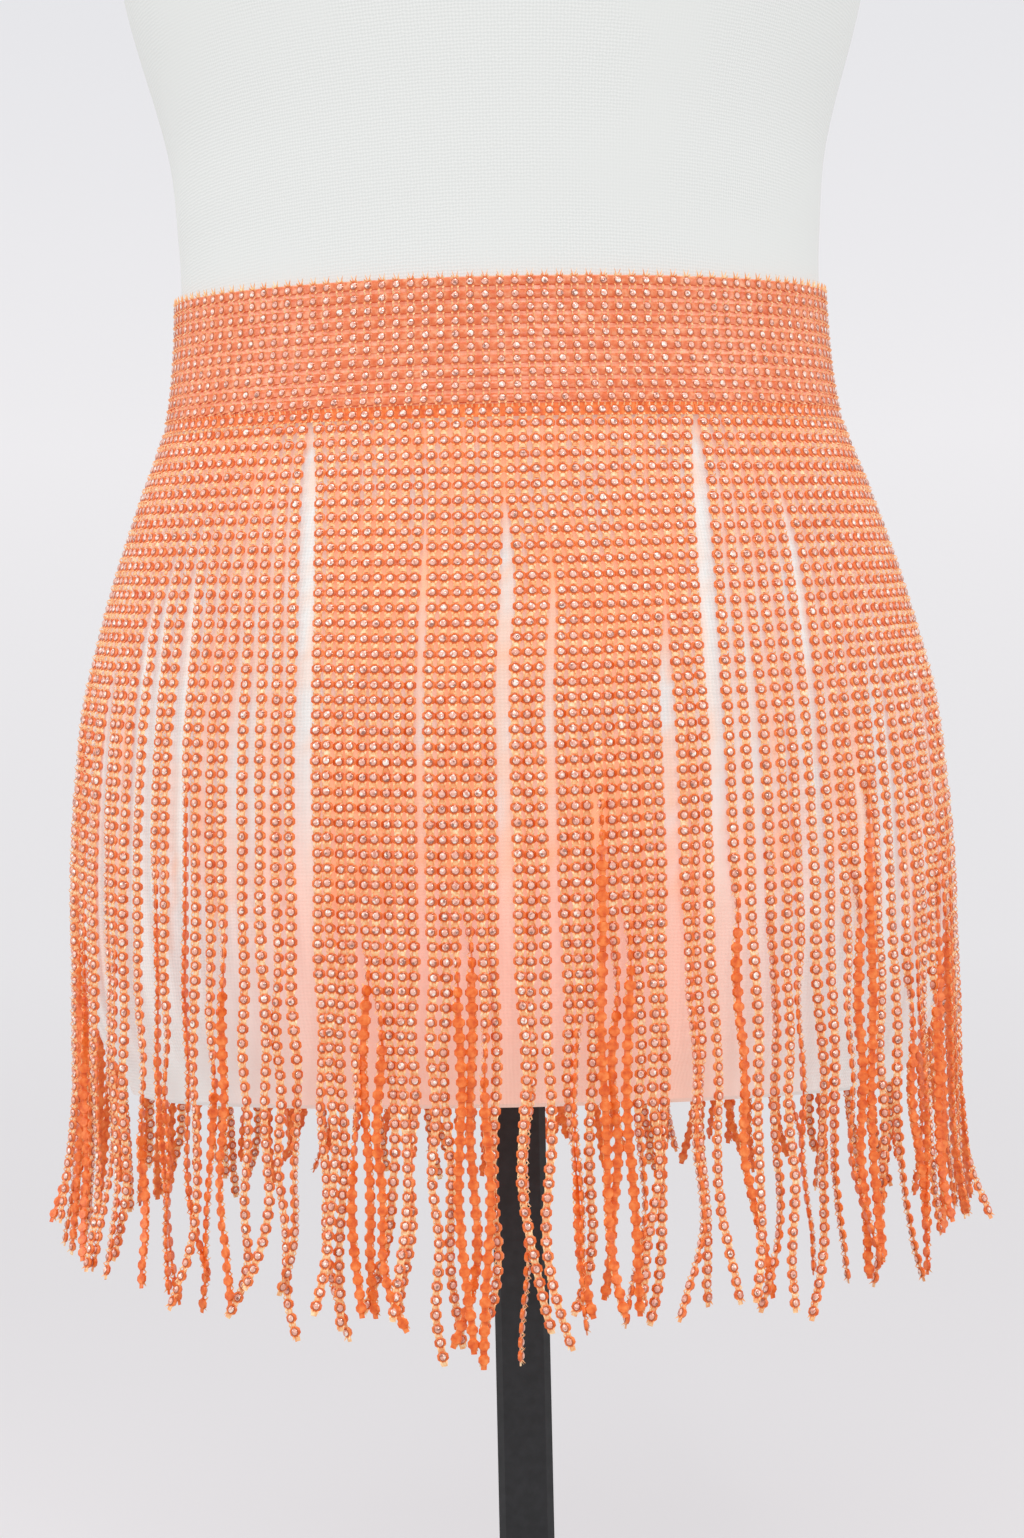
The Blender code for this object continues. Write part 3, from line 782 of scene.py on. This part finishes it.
def makeTrim(number):
    trim = trims[number]
    chance, loose = (random.Random(hang[key] + number) for key in ("solidSeed", "looseSeed"))
    first = (number - 0.5) * belt["strands"] * strandPitch
    bottom = headerLevel - belt["headerHeight"]
    lines = [slideDown(tiltedPoint(headerAngle(first + n * strandPitch), bottom, belt["clear"]))
             for n in (0, belt["strands"])]
    lines[0] = np.where(lines[0] > lines[1], lines[0] - arcs[:, -1], lines[0])
    pull = hang["frontPull"] * easeStep(levelTop - levels, *hang["frontPullOver"])
    if trim["name"] in ("front", "left_front"):
        lines[1 if trim["name"] == "left_front" else 0] += pull
    if trim["name"] in ("front", "right_front"):
        lines[0 if trim["name"] == "right_front" else 1] -= pull
    places = [[], [], [], []]
    strand = 0
    for bunch, (size, drift) in enumerate(zip(trim["sizes"], trim["drift"])):
        for _ in range(size):
            draw = {
                "length": chance.uniform(-belt["lengthSpread"], belt["lengthSpread"]),
                "sway": chance.uniform(-belt["sway"], belt["sway"]),
                "curl": chance.uniform(-belt["curl"], belt["curl"]),
                "flare": chance.uniform(0.0, belt["flare"]) * (1 if strand % 2 else -1),
                "drift": drift / 1000,
            }
            root = tiltedPoint(headerAngle(first + (strand + 0.5) * strandPitch), bottom, belt["bandInside"])
            frontness = max(0.0, -root[1]) / math.hypot(root[0], root[1])
            draw["length"] += belt["backLength"] + (belt["frontLength"] - belt["backLength"]) * frontness
            for store, found in zip(places, strandPlaces(trim, bunch, strand, root, lines, draw, loose)):
                store.append(found)
            strand += 1
    places = [np.concatenate(store) for store in places]
    tape, tapePlaces = headerTape(first)
    cupPlaces.extend([places[0], np.array(tapePlaces[0])])
    cup, topCup = cupShape(unit, hang["lastPitch"]), cupShape(unit, belt["headerHeight"] / 2 + hang["firstDrop"])
    stone = stoneShape(unit)
    chains = meshPiece(trim["name"] + "Chains", joined([stamp(cup, places), tape, stamp(topCup, tapePlaces)]),
                       [neon["chain"], neon["clawHighlights"]], 50)
    stones = stonesPiece(trim["name"] + "Stones", joined([stamp(stone, places), stamp(stone, tapePlaces)]))
    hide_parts("fringe_" + trim["name"])
    for piece in (chains, stones):
        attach(piece, "root")
    print(trim["name"], "trim:", len(places[0]), "cups")
    return [chains, stones]


cupPlaces, trimPieces = [], []
for number in range(len(trims)):
    trimPieces += makeTrim(number)


# The dress form, smooth, with the cover that the strands give it kept at each point for its painted bounce light

form = {
    "around": 240,
    "step": 0.0060,
    "margin": 0.012,     # from the first and last rows to the even ones
    "reach": 0.009,      # cups nearer than this cover a point:
    "bare": 5.0,         # with so few it counts as bare,
    "covered": 9.5,      # and with so many as covered
}


def makeForm():
    around = form["around"]
    middle = np.arange(rows[0, 0] + form["margin"], rows[-1, 0] - form["margin"], form["step"])
    heights = sorted(set(np.round(np.concatenate([middle, rows[:5, 0], rows[-4:, 0]]), 5)))
    points = []
    for height in heights:
        radii = formRadii(height)
        for i in range(around):
            point = ovalPoint(radii, math.tau * i / around)
            point[2] = height
            points.append(point)
    faces = loftFaces(len(heights), around, flip=True)
    faces += [tuple(range(around)), tuple(reversed(range(len(points) - around, len(points))))]
    piece = meshPiece("dressForm", makeShape(points, faces), [jerseyCloth], 40)
    cups = np.concatenate(cupPlaces)
    tree = KDTree(len(cups))
    for n, place in enumerate(cups):
        tree.insert(place, n)
    tree.balance()
    near = np.array([len(tree.find_range(point, form["reach"])) if point[2] < headerLevel else 0
                     for point in points])
    lengths = piece.data.uv_layers.new(name="lengths")
    widest = rows[:, 1].max()
    for loop, corner in enumerate(piece.data.loops):
        column = corner.vertex_index % around
        if column == 0 and loop // 4 % around == around - 1:
            column = around
        lengths.uv[loop].vector = (math.tau * widest * column / around, points[corner.vertex_index][2])
    cover = piece.data.attributes.new("cover", "FLOAT", "POINT")
    cover.data.foreach_set("value", np.clip((near - form["bare"]) / (form["covered"] - form["bare"]), 0, 1))
    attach(piece, "root")
    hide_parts("dress_form")


makeForm()
for name in ("pole", "base"):
    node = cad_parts[name]
    node.data.materials.clear()
    node.data.materials.append(standPaint)
print("form and stand done")


# The waistband: a stretched net with a strip for each row of stones

band = {
    "columns": 126,
    "around": 252,
    "netThick": 0.0007,
    "netSteps": 20,
    "topInset": 0.0004,     # the net stops short of the band's edges by this,
    "bottomInset": 0.0002,  # and this
    "stripHeight": 0.0034,
    "stripRise": 0.0015,
    "stripShoulder": 0.8,   # its bent edges, by its height and rise
    "stripSink": 0.0001,
    "stoneScale": 0.96,
    "stoneLift": 0.0009,
    "clawTip": (0.00120, 0.00250, 0.00090),
    "prongHeight": 0.0021,
    "prongSpread": 0.0012,
    "prongWidth": 0.00038,
    "prongApart": 0.0003,
    "prongFoot": 0.36,      # its start below the stone's middle, by the pitch of the rows
    "prongDepth": (-0.0006, 0.0003),
    "cutLength": 0.660,     # before it is stretched on
}


# A closed ring round the form, from the heights and offsets of its section
def bandRings(section):
    around = band["around"]
    points = [tiltedPoint(math.pi / 2 - math.tau * i / around, level, offset)
              for level, offset in section for i in range(around)]
    return makeShape(points, loftFaces(len(section), around, closeRings=True, flip=True))


# Two thin prongs in a V above a stone of the top row, in the claws' painted-highlight colours
def prongShape():
    points, faces = [], []
    wide, (back, front) = band["prongWidth"], band["prongDepth"]
    foot, tip = -belt["rowPitch"] * band["prongFoot"], -belt["rowPitch"] / 2 - band["prongHeight"]
    for way in (-1, 1):
        start, side = len(points), way * band["prongApart"]
        points += [(side - wide, foot, back), (side + wide, foot, back), (side, foot, front),
                   (way * band["prongSpread"], tip, front)]
        faces += [(start, start + 2, start + 1), (start, start + 1, start + 3),
                  (start + 1, start + 2, start + 3), (start + 2, start, start + 3)]
    return makeShape(points, faces, 1)


def makeBand():
    count, pitch = belt["rows"], belt["rowPitch"]
    top, inside, outside = belt["bandTop"], belt["bandInside"], belt["bandInside"] + band["netThick"]
    netTop, netBottom = top - band["topInset"], top - count * pitch + band["bottomInset"]
    section = [(netTop, inside)]
    section += [(level, outside) for level in np.linspace(netTop, netBottom, band["netSteps"] + 1)]
    section.append((netBottom, inside))
    net = meshPiece("bandNet", bandRings(section), [neon["net"]], 40)
    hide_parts("waistband")

    half, rise, shoulder = band["stripHeight"] / 2, band["stripRise"], band["stripShoulder"]
    base, lift = outside - band["stripSink"], inside + unit["depth"] + band["stoneLift"]
    parts, places = [], []
    for row in range(count):
        middle = top - (row + 0.5) * pitch
        parts.append(bandRings((
            (middle + half, base), (middle + half * shoulder, base + rise * shoulder), (middle, base + rise),
            (middle - half * shoulder, base + rise * shoulder), (middle - half, base))))
        places += [frameOnBand(headerAngle(column * girth / band["columns"]), middle, lift)
                   for column in range(band["columns"])]
    small = dict(unit)
    for key in ("backRadius", "rimRadius", "stoneRadius", "tableRadius", "stoneHeight"):
        small[key] = unit[key] * band["stoneScale"]
    small["clawTip"] = band["clawTip"]
    topRow = list(zip(*places[:band["columns"]]))
    places = list(zip(*places))
    parts += [stamp(cupShape(small, 0), places), stamp(prongShape(), topRow)]
    strips = meshPiece("bandRows", joined(parts), [neon["band"], neon["clawHighlights"]], 50)
    stones = stonesPiece("bandStones", stamp(stoneShape(small), places))
    for piece in (net, strips, stones):
        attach(piece, "root")
    print("band:", len(places[0]), "stones")


makeBand()

# The room: a pale round bowl with its rim far up, so that every side has the same backdrop

room = {
    "heights": (0.0, 0.3, 1.3, 3.0),
    # the paper's colours by height, lighter at mid height and darker towards the floor: painted light and shade
    # of the lamps
    "shadedColours": ((214, 212, 215), (224, 223, 226), (236, 235, 238), (228, 229, 233)),
    # and a painted glow, no lamp, that brightens the paper
    "paintedGlow": 0.25,
    "floorTo": 1.2,
    "wallAt": 5.2,
    "rim": 7.0,
    "around": 96,
    "floorSteps": 4,
    "bendSteps": 18,
    "sink": 0.0005,     # how far the floor lies under the stand
}


def makeRoom():
    finish, tree, shader = newFinish("studioPaper")
    where = tree.nodes.new("ShaderNodeTexCoord")
    split = tree.nodes.new("ShaderNodeSeparateXYZ")
    level = tree.nodes.new("ShaderNodeMapRange")
    level.inputs["From Max"].default_value = room["heights"][-1]
    tree.links.new(where.outputs["Object"], split.inputs["Vector"])
    tree.links.new(split.outputs["Z"], level.inputs["Value"])
    # Colour by height on the paper: painted light and shade
    stops = [(height / room["heights"][-1], colour) for height, colour in zip(room["heights"], room["shadedColours"])]
    ramp = addRamp(tree, level.outputs["Result"], stops)
    tree.links.new(ramp.outputs["Color"], shader.inputs["Base Color"])
    tree.links.new(ramp.outputs["Color"], shader.inputs["Emission Color"])
    shader.inputs["Emission Strength"].default_value = room["paintedGlow"]
    shader.inputs["Roughness"].default_value = 0.9
    bend = room["wallAt"] - room["floorTo"]
    section = [(room["floorTo"] * (n + 1) / room["floorSteps"], 0.0) for n in range(room["floorSteps"])]
    for n in range(room["bendSteps"]):
        angle = math.pi / 2 * (n + 1) / room["bendSteps"]
        section.append((room["floorTo"] + bend * math.sin(angle), bend - bend * math.cos(angle)))
    section.append((room["wallAt"], room["rim"]))
    around = room["around"]
    points = [(r * math.cos(math.tau * i / around), r * math.sin(math.tau * i / around), z - room["sink"])
              for r, z in section for i in range(around)]
    faces = loftFaces(len(section), around, flip=True) + [tuple(range(around))]
    paper = meshPiece("studioPaper", makeShape(points, faces), [finish], 60)
    paper.visible_shadow = False
    paper.visible_diffuse = False
    paper.visible_glossy = False
    paper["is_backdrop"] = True


makeRoom()

lighting = {
    "world": 0.70,
    "worldColour": (1.0, 0.995, 0.99, 1.0),
    "lamps": (
        {"name": "left", "at": (-2.1, -0.9, 1.1), "aim": (0, 0, 0.55), "size": 1.2, "watts": 14.0},
        {"name": "right", "at": (2.1, -0.9, 1.1), "aim": (0, 0, 0.55), "size": 1.2, "watts": 12.0},
        {"name": "top", "at": (-0.1, -1.0, 2.3), "aim": (0, 0, 0.50), "size": 0.7, "watts": 12.0},
        {"name": "sparkle", "at": (0.25, -1.4, 0.95), "aim": (0, 0, 0.50), "size": 0.10, "watts": 2.0},
    ),
}


def makeLights():
    for lamp in lighting["lamps"]:
        data = bpy.data.lights.new(lamp["name"], "AREA")
        data.shape = "SQUARE"
        data.size = lamp["size"]
        data.energy = lamp["watts"]
        light = bpy.data.objects.new(lamp["name"], data)
        light.location = lamp["at"]
        light.rotation_mode = "QUATERNION"
        light.rotation_quaternion = (Vector(lamp["aim"]) - Vector(lamp["at"])).to_track_quat("-Z", "Y")
        scene.collection.objects.link(light)
    world = bpy.data.worlds.new("studio")
    world.use_nodes = True
    sky = world.node_tree.nodes["Background"]
    sky.inputs["Color"].default_value = lighting["worldColour"]
    sky.inputs["Strength"].default_value = lighting["world"]
    scene.world = world


makeLights()

camera = {
    "at": (0.0006, -1.0, 0.413),
    "lens": 58.52,
    "pitch": 2.5,       # degrees up
    "roll": 1.24,       # degrees; the photo's top leans left
}


def makeCamera():
    data = bpy.data.cameras.new("camera")
    data.lens = camera["lens"]
    data.sensor_width = 36.0
    pitch, roll = math.radians(camera["pitch"]), math.radians(camera["roll"])
    forward = Vector((0, math.cos(pitch), math.sin(pitch)))
    up = Vector((0, -math.sin(pitch), math.cos(pitch)))
    right = Vector((1, 0, 0))
    leanRight = right * math.cos(roll) - up * math.sin(roll)
    leanUp = up * math.cos(roll) + right * math.sin(roll)
    matrix = Matrix((leanRight, leanUp, -forward)).transposed().to_4x4()
    matrix.translation = Vector(camera["at"])
    item = bpy.data.objects.new("camera", data)
    item.matrix_world = matrix
    scene.collection.objects.link(item)
    scene.camera = item
    scene.view_settings.view_transform = "Standard"


makeCamera()

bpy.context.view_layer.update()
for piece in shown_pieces():
    print(piece.name, sum(len(face.vertices) - 2 for face in piece.data.polygons), "triangles")
